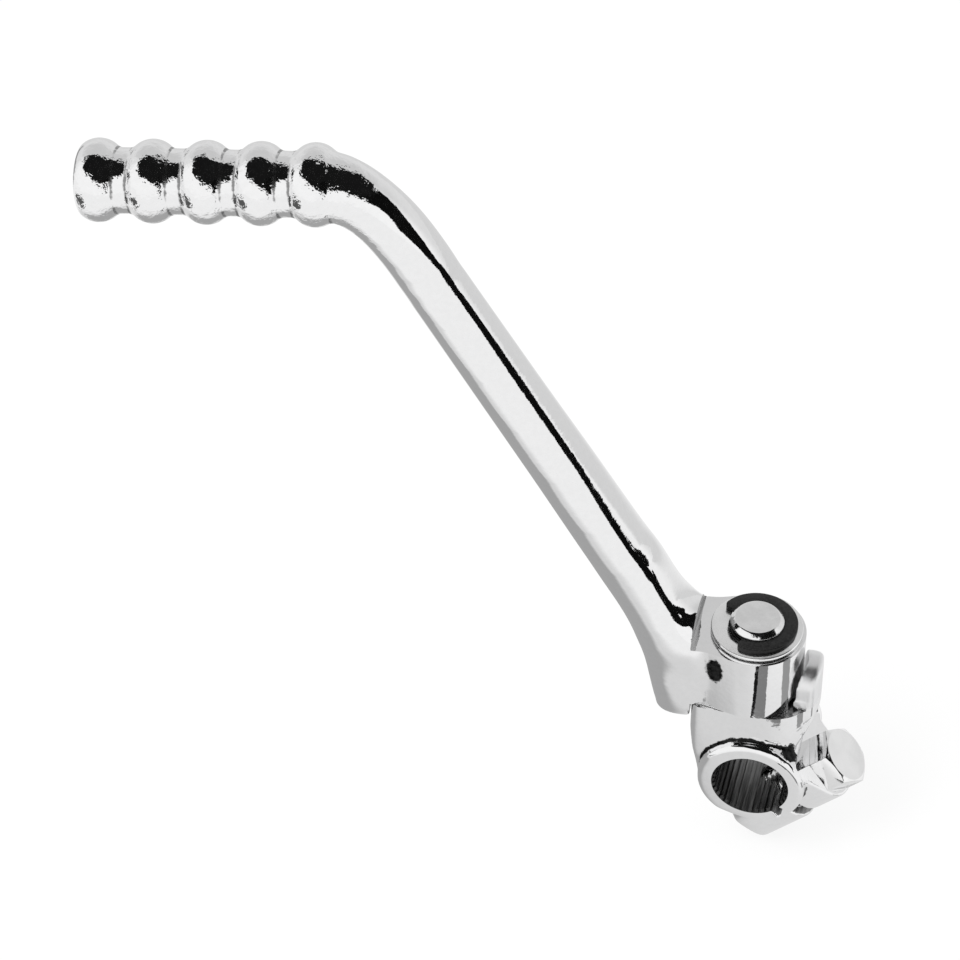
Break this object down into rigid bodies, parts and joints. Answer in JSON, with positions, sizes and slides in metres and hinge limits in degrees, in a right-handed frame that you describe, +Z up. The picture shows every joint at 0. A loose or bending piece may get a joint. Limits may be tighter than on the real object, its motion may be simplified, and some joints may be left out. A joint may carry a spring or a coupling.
{
  "type": "kick start lever",
  "caption": "Folding chromed kick start lever: ribbed foot peg on a bent round arm, pivoting on a pin in a splined pinch-clamp hub with a stop tab.",
  "frame": {"origin": "on the axis of the splined bore, in the plane of the pivot pin's axis, at the middle of the bore's length", "axes": "+Y along the kick shaft, away from the machine; +Z up along the pivot pin; the folded lever points to -X"},
  "size_m": [0.166, 0.0302, 0.1778],
  "materials": {
    "hub_chrome": "polished chrome plate on forged steel",
    "lever_chrome": "polished chrome plate on forged steel",
    "bolt_plate": "bright zinc plate",
    "pin_steel": "bright plated steel",
    "washer_steel": "plain plated steel",
    "clip_black": "black phosphate spring steel",
    "ball_steel": "polished steel ball",
    "spring_steel": "spring steel"
  },
  "bodies": {
    "hub": {"kick_hub": "hub_chrome", "pinch_bolt": "bolt_plate", "pivot_pin": "pin_steel", "thrust_washer": "washer_steel", "circlip": "clip_black"},
    "lever": {"kick_lever": "lever_chrome", "detent_ball": "ball_steel", "detent_spring": "spring_steel"}
  },
  "joints": [
    {"name": "fold_pivot", "type": "hinge", "parent": "hub", "child": "lever", "pos_m": [-0.0024, 0, 0.0272], "axis": [0, 0, -1], "range_deg": [0, 94]}
  ]
}
